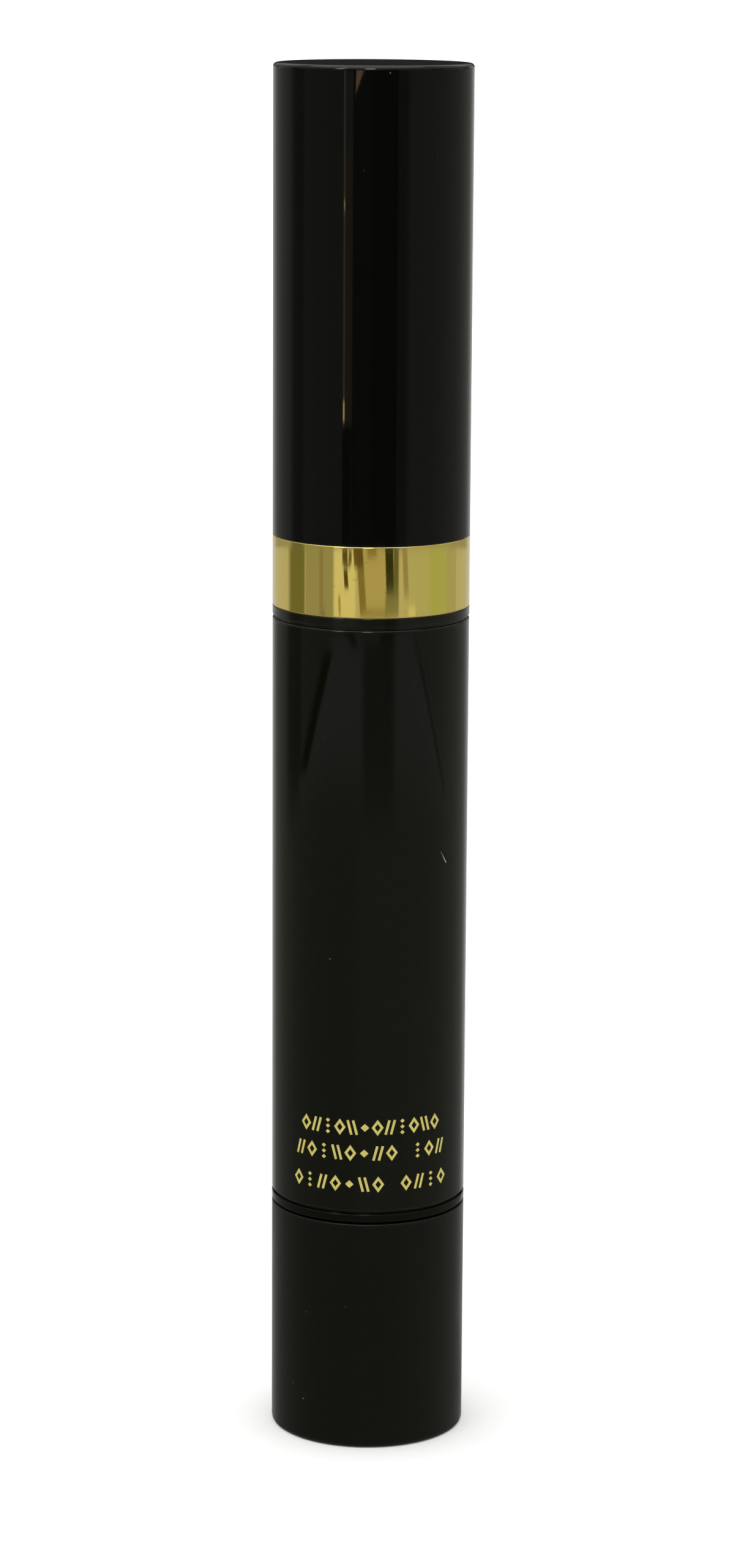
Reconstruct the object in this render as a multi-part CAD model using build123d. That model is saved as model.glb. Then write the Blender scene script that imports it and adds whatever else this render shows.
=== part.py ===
from build123d import *
import math
import os

# A twist-up brush pen for liquid make-up, standing on its turning base with its cap on.
# Millimetres, +Z up.  The origin is the centre of the base's underside, and every piece is
# drawn where it sits when the pen is closed and full.
#
# Turning the base turns a six-sided spindle inside the hollow lead screw.  The screw winds up
# through a fixed nut and pushes the piston, which drives the liquid through the feed tube into
# the brush.  A ratchet lets the base turn one way only.

# Outside
BODY_R = 8.5
PEN_TOP = 119.8
SEAM = 0.2                      # height of each fine dark line between two pieces
BASE_TOP = 20.45
RING_LOW = BASE_TOP + SEAM
RING_HIGH = 21.35
BARREL_LOW = RING_HIGH + SEAM
BARREL_TOP = 72.73
CAP_LOW = BARREL_TOP + SEAM
BAND_LOW = 73.75
BAND_HIGH = 79.85
SEAM_R = 8.25                   # radius at the bottom of a seam
HAIR_ROUND = 0.08               # edges of the gold band, the lip and the ring
SMALL_ROUND = 0.18              # edges of the barrel, and the base's upper edge
TOP_ROUND = 0.35
FOOT_ROUND = 0.4

# Fits
RUN = 0.05                      # radial clearance of a running or sliding fit
SEAL_GAP = 0.03                 # radial clearance of an O-ring drawn relaxed

# Walls
SHELL_IN_R = 7.45               # inside of the cap shell and the barrel shell
CORE_R = SHELL_IN_R - RUN       # what plugs into those shells
BASE_IN_R = 7.3
FLOOR = 1.6                     # closed end of the cap and of the base

# Drive
LEAD = 2.0                      # screw travel for each turn of the base
TRAVEL = 26.0                   # stroke of screw and piston, which is 13 turns
NUT_LOW = 32.6
SCREW_CREST_R = 2.4
SCREW_ROOT_R = 1.75
THREAD_GAP = 0.1
SCREW_LOW = NUT_LOW - TRAVEL - 0.6
SCREW_HIGH = 36.0
HEX_FLATS = 1.9
HEX_GAP = 0.05
SPINDLE_TOP = SCREW_LOW + TRAVEL + 2.6
SPINDLE_HEAD = 3.6              # side of its square head
NECK_R = 1.1
HEAD_R = 2.2
HEAD_LOW = SCREW_HIGH + 1.0
HEAD_HIGH = HEAD_LOW + 1.0

# Ratchet
TEETH = 16
TOOTH_ROOT_R = 5.75
TOOTH_TIP_R = 5.25
RATCHET_LOW = 24.5
RATCHET_HIGH = 28.0
PAWL_LOW = 24.8
PAWL_HIGH = 27.7
PAWL_HUB_R = 4.0
PAWL_SEAT_R = 3.3
PAWL_SEAT_FLATS = 6.0
PAWL_ARM_IN_R = 4.5
PAWL_ARM_OUT_R = 4.95
PAWL_ARM_SPAN = 100             # degrees

# Reservoir and piston
BORE_R = 6.2
RESERVOIR_R = 7.35
RESERVOIR_LOW = 36.3
PISTON_R = BORE_R - RUN
PISTON_LOW = 36.5
PISTON_HIGH = 41.5
RESERVOIR_CEILING = PISTON_HIGH + TRAVEL + 0.5
RESERVOIR_TOP = RESERVOIR_CEILING + 2.5
PISTON_SEAL = 0.32              # section radius of the two seals
SEAL_GROOVE_HALF = 0.45
SEAL_HEIGHTS = (37.65, 40.15)

# Neck, ferrule and brush
COLLAR_LOW = 71.0
COLLAR_TOP = 81.0
NECK_COLLAR_R = 6.45
COLLAR_BORE_R = 4.6
COLLAR_RING = 0.35              # section radius of the cap's O-ring
COLLAR_RING_HEIGHT = 76.05
COLLAR_GROOVE_HALF = 0.45
PLUG_SEAT = 73.5                # where the ferrule's plug stops
TUBE_R = 1.5
TUBE_BORE_R = 0.7
TUBE_LOW = RESERVOIR_CEILING + 0.2
TUBE_HIGH = 97.5
FERRULE_FLANGE_R = 5.4
FERRULE_FLANGE_TOP = 82.0
FERRULE_TIP = 95.0
FERRULE_TIP_R = 2.8
SOCKET_LOW = 90.0
TUFT_ROOT_R = 2.3
TUFT_BELLY_R = 2.75
TUFT_BELLY = 99.2
TUFT_TIP = 109.0

# Cap liner
BEAD_HALF = 0.5                 # half height of the bead that holds the gold band
LINER_WALL_R = 6.4
CHAMBER_R = 5.4
SHOULDER = 84.5
CHAMBER_TOP = 116.0
LINER_RIBS = 6

# Base and its bearing
HOUSING_TOP = 36.2
HOUSING_BORE_R = 6.2
JOURNAL_LOW = 11.0
JOURNAL_R = 6.6
JOURNAL_BORE_R = 5.0
JOURNAL_RING = 0.4              # section radius of the O-ring that gives the base its drag
JOURNAL_RING_HEIGHT = 17.0
JOURNAL_GROOVE_HALF = 0.5
SNAP = 13.4                     # height of the bead that keeps the base on
SNAP_PROUD = 0.25
LAND_LOW = 21.0
CORE_LOW = FLOOR + 0.05
CORE_HIGH = 20.2
CORE_FLOOR = 3.65
CORE_WELL_R = 6.2
SHELL_KEY_R = 6.9
SHELL_KEY_TOP = 9.0
SHELL_KEYS = 4
SLEEVE_R = 4.6
SLEEVE_BORE_R = 2.65
FOOT_FLANGE_R = 6.1
FOOT_FLANGE_TOP = 5.2
KEY_WIDTH = 2.0                 # slots in the housing that hold the ratchet ring and the nut
KEY_COUNT = 3


# ---------------------------------------------------------------- helpers

def turned(outline):
    """A solid of revolution about Z, from the (radius, height) corners of its half section."""
    with BuildPart() as part:
        with BuildSketch(Plane.XZ):
            with BuildLine():
                Polyline(*outline, close=True)
            make_face()
        revolve(axis=Axis.Z)
    return part.part


def tube(outer, inner, low, high):
    return turned([(inner, low), (outer, low), (outer, high), (inner, high)])


def rod(radius, low, high):
    return turned([(0, low), (radius, low), (radius, high), (0, high)])


def o_ring(section, outer, height):
    """An O-ring of the given section radius, outer radius and height of its middle."""
    return Pos(0, 0, height) * Torus(outer - section, section)


def rounded(solid, amount, *rims):
    """Rounds the circular edges that lie at the given (radius, height) rims."""
    edges = []
    for edge in solid.edges().filter_by(GeomType.CIRCLE):
        for radius, height in rims:
            if abs(edge.radius - radius) < 1e-4 and abs(edge.arc_center.Z - height) < 1e-4:
                edges.append(edge)
    return fillet(edges, amount)


def around(count, shape):
    """Copies of a shape turned evenly about Z."""
    return [Rot(0, 0, 360 * i / count) * shape for i in range(count)]


def block(length, width, low, high, start=0.0):
    """A block along +X from x = start, centred on y = 0."""
    return Pos(start + length / 2, 0, (low + high) / 2) * Box(length, width, high - low)


def hexagon(flats, low, high):
    """A six-sided bar, given its size across the flats."""
    face = Plane.XY.offset(low) * RegularPolygon(flats / 2, 6, major_radius=False)
    return extrude(face, high - low)


def outlined(corners):
    """A flat face with straight sides through the given corners."""
    return make_face(Polyline(*corners, close=True))


def polar(radius, degrees):
    return (radius * math.cos(math.radians(degrees)), radius * math.sin(math.radians(degrees)))


def thread_face(crest, root):
    """Cross-section of a single-start thread: a crest arc, a root arc and two flanks."""
    crest_half = 0.16 * 180
    root_half = 0.34 * 180
    middle = (crest + root) / 2
    flank = 180 - crest_half - root_half
    with BuildSketch() as sketch:
        with BuildLine():
            ThreePointArc(polar(crest, -crest_half), (crest, 0), polar(crest, crest_half))
            ThreePointArc(
                polar(crest, crest_half),
                polar(middle, crest_half + flank / 2),
                polar(root, crest_half + flank),
            )
            ThreePointArc(
                polar(root, crest_half + flank), (-root, 0), polar(root, -crest_half - flank)
            )
            ThreePointArc(
                polar(root, -crest_half - flank),
                polar(middle, -crest_half - flank / 2),
                polar(crest, -crest_half),
            )
        make_face()
    return sketch.sketch.face()


def thread(crest, root, low, high):
    """A right-hand threaded bar, in phase with every other thread made here."""
    turns = (high - low) / LEAD
    bar = Solid.extrude_linear_with_rotation(
        thread_face(crest, root),
        center=(0, 0, 0),
        normal=(0, 0, high - low),
        angle=360 * turns,
    )
    return Pos(0, 0, low) * Rot(0, 0, 360 * low / LEAD) * bar


# ---------------------------------------------------------------- cap

def cap_shell():
    """The glossy upper cap: a closed tube that stands on the gold band."""
    ceiling = PEN_TOP - FLOOR
    shell = turned([
        (SHELL_IN_R, BAND_HIGH), (BODY_R, BAND_HIGH), (BODY_R, PEN_TOP),
        (0, PEN_TOP), (0, ceiling), (SHELL_IN_R, ceiling),
    ])
    shell = rounded(shell, TOP_ROUND, (BODY_R, PEN_TOP))
    shell = rounded(shell, HAIR_ROUND, (BODY_R, BAND_HIGH))
    return rounded(shell, 2 * TOP_ROUND, (SHELL_IN_R, ceiling))


def gold_band():
    """The gold ring, with a groove inside that snaps over a bead on the cap liner."""
    middle = (BAND_LOW + BAND_HIGH) / 2
    groove_r = SHELL_IN_R + 0.25
    band = turned([
        (SHELL_IN_R, BAND_LOW), (BODY_R, BAND_LOW), (BODY_R, BAND_HIGH), (SHELL_IN_R, BAND_HIGH),
        (SHELL_IN_R, middle + BEAD_HALF + 0.1), (groove_r, middle + BEAD_HALF - 0.1),
        (groove_r, middle - BEAD_HALF + 0.1), (SHELL_IN_R, middle - BEAD_HALF - 0.1),
    ])
    return rounded(band, HAIR_ROUND, (BODY_R, BAND_LOW), (BODY_R, BAND_HIGH))


def cap_liner():
    """The inner cap: the lip below the gold band, a socket for the neck, and a brush chamber."""
    middle = (BAND_LOW + BAND_HIGH) / 2
    bead_r = CORE_R + 0.2
    bead_flat = BEAD_HALF - 0.15
    socket_r = NECK_COLLAR_R + RUN
    step = SHOULDER + 1.5
    liner = turned([
        (socket_r, CAP_LOW), (BODY_R, CAP_LOW), (BODY_R, BAND_LOW), (CORE_R, BAND_LOW),
        (CORE_R, middle - BEAD_HALF), (bead_r, middle - bead_flat), (bead_r, middle + bead_flat),
        (CORE_R, middle + BEAD_HALF), (CORE_R, step), (LINER_WALL_R, step + 1.0),
        (LINER_WALL_R, CHAMBER_TOP + 1.0), (0, CHAMBER_TOP + 1.0), (0, CHAMBER_TOP),
        (CHAMBER_R, CHAMBER_TOP), (CHAMBER_R, SHOULDER + 0.5), (socket_r, SHOULDER),
    ])
    liner = rounded(liner, HAIR_ROUND, (BODY_R, CAP_LOW), (BODY_R, BAND_LOW))
    root = LINER_WALL_R - 0.3
    rib = block(CORE_R - root, 1.0, step + 0.5, CHAMBER_TOP - 1.0, start=root)
    return liner + around(LINER_RIBS, rib)


def cap_seal():
    """A soft ring that closes on the ferrule's flange and keeps the brush wet."""
    return tube(NECK_COLLAR_R + RUN, CHAMBER_R + RUN, FERRULE_FLANGE_TOP + RUN, SHOULDER)


# ---------------------------------------------------------------- barrel

def barrel_shell():
    barrel = tube(BODY_R, SHELL_IN_R, BARREL_LOW, BARREL_TOP)
    return rounded(barrel, SMALL_ROUND, (BODY_R, BARREL_LOW), (BODY_R, BARREL_TOP))


def reservoir():
    """The liquid's cylinder, open below for the piston, with a small outlet on top."""
    outlet = TUBE_R + RUN
    return turned([
        (BORE_R, RESERVOIR_LOW), (RESERVOIR_R, RESERVOIR_LOW), (RESERVOIR_R, RESERVOIR_TOP),
        (outlet, RESERVOIR_TOP), (outlet, RESERVOIR_CEILING), (BORE_R, RESERVOIR_CEILING),
    ])


def neck_gasket():
    return tube(RESERVOIR_R, TUBE_R + 0.1, RESERVOIR_TOP, COLLAR_LOW)


def neck_collar():
    """The neck that the cap slides onto, with a groove for its O-ring."""
    shoulder = CAP_LOW - SEAL_GAP
    tube_hole_r = TUBE_R + 0.5
    groove_r = NECK_COLLAR_R - 2 * COLLAR_RING
    groove_low = COLLAR_RING_HEIGHT - COLLAR_GROOVE_HALF
    groove_high = COLLAR_RING_HEIGHT + COLLAR_GROOVE_HALF
    lead_in = 0.5
    return turned([
        (tube_hole_r, COLLAR_LOW), (CORE_R, COLLAR_LOW), (CORE_R, BARREL_TOP),
        (SEAM_R, BARREL_TOP), (SEAM_R, shoulder), (NECK_COLLAR_R, shoulder),
        (NECK_COLLAR_R, groove_low), (groove_r, groove_low), (groove_r, groove_high),
        (NECK_COLLAR_R, groove_high), (NECK_COLLAR_R, COLLAR_TOP - lead_in),
        (NECK_COLLAR_R - lead_in, COLLAR_TOP), (COLLAR_BORE_R, COLLAR_TOP),
        (COLLAR_BORE_R, PLUG_SEAT), (tube_hole_r, PLUG_SEAT),
    ])


def collar_o_ring():
    return o_ring(COLLAR_RING, NECK_COLLAR_R + RUN - SEAL_GAP, COLLAR_RING_HEIGHT)


def brush_ferrule():
    """The tapered holder: a plug in the collar, a flange, a cone and a socket for the tuft."""
    bore = TUBE_R + RUN
    plug = COLLAR_BORE_R - RUN
    socket = TUFT_ROOT_R + RUN
    ferrule = turned([
        (bore, PLUG_SEAT + 0.1), (plug, PLUG_SEAT + 0.1), (plug, COLLAR_TOP),
        (FERRULE_FLANGE_R, COLLAR_TOP), (FERRULE_FLANGE_R, FERRULE_FLANGE_TOP),
        (FERRULE_FLANGE_R - 0.7, FERRULE_FLANGE_TOP),
        (FERRULE_FLANGE_R - 1.3, FERRULE_FLANGE_TOP + 2.0), (FERRULE_TIP_R, FERRULE_TIP),
        (socket, FERRULE_TIP), (socket, SOCKET_LOW), (bore, SOCKET_LOW),
    ])
    return rounded(ferrule, 2 * HAIR_ROUND, (FERRULE_TIP_R, FERRULE_TIP))


def feed_tube():
    return tube(TUBE_R, TUBE_BORE_R, TUBE_LOW, TUBE_HIGH)


def brush_tuft():
    """The bristles as one closed form: a bound root, a belly and a fine point."""
    bore = TUBE_R + RUN
    low = SOCKET_LOW + RUN
    hollow_top = TUBE_HIGH + 0.5
    point = (0.15, TUFT_TIP - 0.1)
    taper = (0.64 * TUFT_BELLY_R, TUFT_BELLY + 0.55 * (TUFT_TIP - TUFT_BELLY))
    with BuildPart() as tuft:
        with BuildSketch(Plane.XZ):
            with BuildLine():
                Polyline((bore, low), (TUFT_ROOT_R, low), (TUFT_ROOT_R, FERRULE_TIP))
                Spline((TUFT_ROOT_R, FERRULE_TIP), (TUFT_BELLY_R, TUFT_BELLY), taper, point)
                Polyline(point, (0, TUFT_TIP), (0, hollow_top), (bore, hollow_top), (bore, low))
            make_face()
        revolve(axis=Axis.Z)
    return tuft.part


def mechanism_housing():
    """The fixed bearing ring seen between barrel and base.

    Its plug fills the barrel's lower end, and its journal carries the turning base.
    """
    bead_r = JOURNAL_R + SNAP_PROUD
    groove_r = JOURNAL_R - 2 * JOURNAL_RING
    groove_low = JOURNAL_RING_HEIGHT - JOURNAL_GROOVE_HALF
    groove_high = JOURNAL_RING_HEIGHT + JOURNAL_GROOVE_HALF
    land_r = SLEEVE_R + RUN
    lead_in = 0.3
    housing = turned([
        (JOURNAL_BORE_R, JOURNAL_LOW), (JOURNAL_R - lead_in, JOURNAL_LOW),
        (JOURNAL_R, JOURNAL_LOW + lead_in), (JOURNAL_R, SNAP - 0.4), (bead_r, SNAP - 0.2),
        (bead_r, SNAP + 0.2), (JOURNAL_R, SNAP + 0.4), (JOURNAL_R, groove_low),
        (groove_r, groove_low), (groove_r, groove_high), (JOURNAL_R, groove_high),
        (JOURNAL_R, RING_LOW), (BODY_R, RING_LOW), (BODY_R, RING_HIGH), (SEAM_R, RING_HIGH),
        (SEAM_R, BARREL_LOW), (CORE_R, BARREL_LOW), (CORE_R, HOUSING_TOP),
        (HOUSING_BORE_R, HOUSING_TOP), (HOUSING_BORE_R, RATCHET_LOW), (land_r, RATCHET_LOW),
        (land_r, LAND_LOW), (JOURNAL_BORE_R, LAND_LOW),
    ])
    housing = rounded(housing, HAIR_ROUND, (BODY_R, RING_LOW), (BODY_R, RING_HIGH))
    inside = HOUSING_BORE_R - 0.7
    slot = block(BODY_R - inside, KEY_WIDTH, RATCHET_LOW, HOUSING_TOP, start=inside)
    return housing - around(KEY_COUNT, slot)


def journal_o_ring():
    return o_ring(JOURNAL_RING, JOURNAL_R + RUN - SEAL_GAP, JOURNAL_RING_HEIGHT)


def housing_key(low, high):
    """A lug that locks a ring in the housing's slots."""
    inside = HOUSING_BORE_R - 0.2
    return block(CORE_R - 0.1 - inside, KEY_WIDTH - 0.1, low, high, start=inside)


def ratchet_ring():
    """Saw teeth inside a ring, with steep faces that stop the base from turning back."""
    pitch = 360 / TEETH
    corners = []
    for i in range(TEETH):
        corners.append(polar(TOOTH_TIP_R, i * pitch))
        corners.append(polar(TOOTH_ROOT_R, i * pitch))
    with BuildPart() as ring:
        with BuildSketch(Plane.XY.offset(RATCHET_LOW)):
            Circle(HOUSING_BORE_R - RUN)
            with BuildLine():
                Polyline(*corners, close=True)
            make_face(mode=Mode.SUBTRACT)
        extrude(amount=RATCHET_HIGH - RATCHET_LOW)
    return ring.part + around(KEY_COUNT, housing_key(RATCHET_LOW, RATCHET_HIGH - 0.5))


def thread_nut():
    """The fixed nut, on a skirt that holds the ratchet ring down."""
    outside = HOUSING_BORE_R - RUN
    skirt_r = TOOTH_TIP_R + RUN
    skirt = RATCHET_HIGH + RUN
    high = SCREW_HIGH - RUN
    blank = turned([
        (skirt_r, skirt), (outside, skirt), (outside, high), (0, high),
        (0, NUT_LOW), (skirt_r, NUT_LOW),
    ])
    blank = blank + around(KEY_COUNT, housing_key(NUT_LOW, high))
    cutter = thread(
        SCREW_CREST_R + THREAD_GAP, SCREW_ROOT_R + THREAD_GAP, NUT_LOW - 0.6, high + 1.0
    )
    return blank - cutter


# ---------------------------------------------------------------- base

def base_shell():
    """The satin base that the hand turns, closed below, with keys that drive its core."""
    shell = turned([
        (0, 0), (BODY_R, 0), (BODY_R, BASE_TOP), (BASE_IN_R, BASE_TOP),
        (BASE_IN_R, FLOOR), (0, FLOOR),
    ])
    shell = rounded(shell, FOOT_ROUND, (BODY_R, 0))
    shell = rounded(shell, SMALL_ROUND, (BODY_R, BASE_TOP))
    depth = BASE_IN_R - SHELL_KEY_R + 0.3
    key = block(depth, 1.2, FLOOR, SHELL_KEY_TOP, start=SHELL_KEY_R)
    return shell + around(SHELL_KEYS, key)


def base_core():
    """The keyed insert in the base: bearing for the journal, and seat for the drive."""
    bearing_r = JOURNAL_R + RUN
    snap_r = bearing_r + SNAP_PROUD + RUN
    outside = BASE_IN_R - RUN
    ledge = JOURNAL_LOW - 0.4
    core = turned([
        (0, CORE_LOW), (outside, CORE_LOW), (outside, CORE_HIGH), (bearing_r, CORE_HIGH),
        (bearing_r, SNAP + 0.6), (snap_r, SNAP + 0.4), (snap_r, SNAP - 0.4),
        (bearing_r, SNAP - 0.6), (bearing_r, ledge), (CORE_WELL_R, ledge),
        (CORE_WELL_R, CORE_FLOOR), (0, CORE_FLOOR),
    ])
    groove_in = SHELL_KEY_R - 0.1
    groove = block(BODY_R - groove_in, 1.3, FLOOR, SHELL_KEY_TOP + 0.2, start=groove_in)
    socket = Pos(0, 0, CORE_FLOOR) * Box(SPINDLE_HEAD + 0.1, SPINDLE_HEAD + 0.1, 3.0)
    foot_slot = block(1.6, 1.6, CORE_FLOOR - 1.05, CORE_FLOOR + 0.5, start=3.9)
    return core - around(SHELL_KEYS, groove) - socket - around(KEY_COUNT, foot_slot)


def drive_sleeve():
    """The tube that carries the pawl ring up into the housing."""
    low = CORE_FLOOR + RUN
    step = PAWL_LOW - RUN
    top = PAWL_HIGH + 0.2
    sleeve = turned([
        (SLEEVE_BORE_R, low), (FOOT_FLANGE_R, low), (FOOT_FLANGE_R, FOOT_FLANGE_TOP),
        (SLEEVE_R, FOOT_FLANGE_TOP), (SLEEVE_R, step), (PAWL_SEAT_R, step),
        (PAWL_SEAT_R, top), (SLEEVE_BORE_R, top),
    ])
    foot = block(1.5, 1.5, CORE_FLOOR - 1.0, low + 0.3, start=3.95)
    cut = 2.0
    flat = Pos(0, (PAWL_SEAT_FLATS + cut) / 2, (step + top) / 2) * Box(
        2 * SLEEVE_R, cut, top - step
    )
    return sleeve + around(KEY_COUNT, foot) - around(2, flat)


def pawl_ring():
    """Two springy arms, drawn bent in so that their noses just clear the ratchet's teeth."""
    nose_at = PAWL_ARM_SPAN - 1
    sunk = 0.1                  # how far the root and the nose run into the arm
    arm = make_face([
        CenterArc((0, 0), PAWL_ARM_OUT_R, 0, PAWL_ARM_SPAN),
        Line(polar(PAWL_ARM_OUT_R, PAWL_ARM_SPAN), polar(PAWL_ARM_IN_R, PAWL_ARM_SPAN)),
        CenterArc((0, 0), PAWL_ARM_IN_R, 0, PAWL_ARM_SPAN),
        Line(polar(PAWL_ARM_IN_R, 0), polar(PAWL_ARM_OUT_R, 0)),
    ])
    root = outlined([
        polar(PAWL_HUB_R - sunk, 0), polar(PAWL_ARM_OUT_R - sunk, 0),
        polar(PAWL_ARM_OUT_R - sunk, 14), polar(PAWL_HUB_R - sunk, 14),
    ])
    nose = outlined([
        polar(PAWL_ARM_OUT_R - sunk, nose_at - 13), polar(TOOTH_TIP_R - RUN, nose_at),
        polar(PAWL_ARM_OUT_R - sunk, nose_at),
    ])
    seat = Circle(PAWL_SEAT_R + RUN) & Rectangle(2 * SLEEVE_R, PAWL_SEAT_FLATS + 2 * RUN)
    plan = Circle(PAWL_HUB_R) - seat + around(2, arm + root + nose)
    return extrude(Plane.XY.offset(PAWL_LOW) * plan, PAWL_HIGH - PAWL_LOW)


def drive_spindle():
    """The six-sided bar that turns the lead screw while the screw climbs along it."""
    head_high = CORE_FLOOR - RUN
    head_low = head_high - 1.4
    head = Pos(0, 0, (head_low + head_high) / 2) * Box(
        SPINDLE_HEAD, SPINDLE_HEAD, head_high - head_low
    )
    return head + hexagon(HEX_FLATS, head_high - 0.1, SPINDLE_TOP)


# ---------------------------------------------------------------- screw and piston

def lead_screw():
    """A hollow right-hand screw whose button head turns inside the piston."""
    screw = thread(SCREW_CREST_R, SCREW_ROOT_R, SCREW_LOW, SCREW_HIGH)
    screw = screw + rod(NECK_R, SCREW_HIGH, HEAD_LOW) + rod(HEAD_R, HEAD_LOW, HEAD_HIGH)
    return screw - hexagon(HEX_FLATS + 2 * HEX_GAP, SCREW_LOW - 0.5, SPINDLE_TOP + 0.5)


def piston():
    """The plunger: a skirt with two seal grooves, and a socket for the screw's head."""
    groove_r = BORE_R - 2 * PISTON_SEAL - 0.1
    mouth_r = NECK_R + 0.15
    socket_r = HEAD_R + 0.2
    socket_low = HEAD_LOW - RUN
    socket_high = HEAD_HIGH + 0.15
    hub_r = socket_r + 0.9
    skirt_r = groove_r - 0.65
    web = PISTON_HIGH - 1.9
    outline = [
        (mouth_r, PISTON_LOW), (hub_r, PISTON_LOW), (hub_r, web), (skirt_r, web),
        (skirt_r, PISTON_LOW), (PISTON_R, PISTON_LOW),
    ]
    for height in SEAL_HEIGHTS:
        low = height - SEAL_GROOVE_HALF
        high = height + SEAL_GROOVE_HALF
        outline += [(PISTON_R, low), (groove_r, low), (groove_r, high), (PISTON_R, high)]
    outline += [
        (PISTON_R, PISTON_HIGH), (0, PISTON_HIGH), (0, socket_high), (socket_r, socket_high),
        (socket_r, socket_low), (mouth_r, socket_low),
    ]
    return turned(outline)


def piston_seals():
    return [o_ring(PISTON_SEAL, BORE_R - SEAL_GAP, height) for height in SEAL_HEIGHTS]


# ---------------------------------------------------------------- output

PIECES = [
    cap_shell, gold_band, cap_liner, cap_seal,
    barrel_shell, reservoir, neck_gasket, neck_collar, collar_o_ring, brush_ferrule,
    feed_tube, brush_tuft, mechanism_housing, journal_o_ring, ratchet_ring, thread_nut,
    base_shell, base_core, drive_sleeve, pawl_ring, drive_spindle,
    lead_screw, piston, piston_seals,
]

os.makedirs("parts", exist_ok=True)
for make in PIECES:
    shape = make()
    if isinstance(shape, list):
        shape = Compound(children=shape)
    export_step(shape, f"parts/{make.__name__}.step")
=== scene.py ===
import math
import random

import bpy
from mathutils import Matrix, Vector


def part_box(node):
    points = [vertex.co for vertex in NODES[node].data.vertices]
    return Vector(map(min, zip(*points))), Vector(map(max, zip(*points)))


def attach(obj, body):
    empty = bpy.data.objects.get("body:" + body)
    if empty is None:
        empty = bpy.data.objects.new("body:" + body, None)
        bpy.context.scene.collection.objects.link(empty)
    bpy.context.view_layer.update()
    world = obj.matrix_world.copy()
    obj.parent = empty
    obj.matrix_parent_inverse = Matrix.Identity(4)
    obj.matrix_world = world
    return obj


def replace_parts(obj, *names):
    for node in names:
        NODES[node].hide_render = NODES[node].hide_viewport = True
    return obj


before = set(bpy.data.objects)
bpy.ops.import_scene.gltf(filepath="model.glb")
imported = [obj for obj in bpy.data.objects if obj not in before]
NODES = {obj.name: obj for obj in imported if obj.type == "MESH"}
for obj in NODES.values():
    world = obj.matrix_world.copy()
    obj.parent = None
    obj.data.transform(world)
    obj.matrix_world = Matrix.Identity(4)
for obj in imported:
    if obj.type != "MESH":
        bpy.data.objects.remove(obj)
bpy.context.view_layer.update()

MM = 0.001
MICRON = 0.000001
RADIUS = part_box("barrel_shell")[1].x
PEN_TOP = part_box("cap_shell")[1].z
OUTER = RADIUS / MM  # the pen's radius in millimetres, the unit of its meshes below
BASE_FLOOR = 1.6  # how thick the base's closed end is


# ---------------------------------------------------------------- shader helpers

class Graph:
    """Adds shader nodes to a tree and wires them, so that a material reads as formulas."""

    def __init__(self, tree):
        self.tree = tree
        tree.nodes.clear()

    def add(self, kind, inputs=None, **settings):
        node = self.tree.nodes.new(kind)
        for name, value in settings.items():
            setattr(node, name, value)
        for name, value in (inputs or {}).items():
            self.put(node.inputs[name], value)
        return node

    def put(self, socket, value):
        if isinstance(value, bpy.types.NodeSocket):
            self.tree.links.new(value, socket)
        else:
            socket.default_value = value

    def parts(self, vector):
        """The X, Y and Z of a vector."""
        split = self.add("ShaderNodeSeparateXYZ", {"Vector": vector})
        return [split.outputs[axis] for axis in "XYZ"]

    def math(self, operation, *values, clamp=False):
        node = self.add("ShaderNodeMath", operation=operation, use_clamp=clamp)
        for socket, value in zip(node.inputs, values):
            self.put(socket, value)
        return node.outputs[0]

    def total(self, first, *rest):
        for value in rest:
            first = self.math("ADD", first, value)
        return first

    def product(self, first, *rest):
        for value in rest:
            first = self.math("MULTIPLY", first, value)
        return first

    def ramp_between(self, value, low, high, out_low=0.0, out_high=1.0):
        """A smooth step from out_low at low to out_high at high."""
        node = self.add(
            "ShaderNodeMapRange",
            {"From Min": low, "From Max": high, "To Min": out_low, "To Max": out_high},
            interpolation_type="SMOOTHSTEP",
        )
        self.put(node.inputs["Value"], value)
        return node.outputs["Result"]

    def band(self, value, low, high, soft_low, soft_high=None):
        """1 between low and high, falling smoothly to 0 over the soft widths outside them."""
        soft_high = soft_low if soft_high is None else soft_high
        up = self.ramp_between(value, low - soft_low, low)
        down = self.ramp_between(value, high, high + soft_high, 1.0, 0.0)
        return self.product(up, down)

    def mix(self, share, low, high):
        node = self.add("ShaderNodeMix", data_type="RGBA")
        self.put(node.inputs["Factor"], share)
        self.put(node.inputs["A"], low)
        self.put(node.inputs["B"], high)
        return node.outputs["Result"]

    def noise(self, vector, scale, detail=4.0, roughness=0.5, distortion=0.0):
        node = self.add(
            "ShaderNodeTexNoise",
            {"Scale": scale, "Detail": detail, "Roughness": roughness, "Distortion": distortion},
        )
        self.put(node.inputs["Vector"], vector)
        return node.outputs["Fac"]

    def stretched(self, vector, x, y, z):
        node = self.add("ShaderNodeMapping", {"Scale": (x, y, z)})
        self.put(node.inputs["Vector"], vector)
        return node.outputs["Vector"]

    def bump(self, height, distance, normal=None):
        node = self.add("ShaderNodeBump", {"Distance": distance, "Strength": 1.0})
        self.put(node.inputs["Height"], height)
        if normal is not None:
            self.put(node.inputs["Normal"], normal)
        return node.outputs["Normal"]


def rgb(red, green, blue):
    return (red, green, blue, 1.0)


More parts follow.
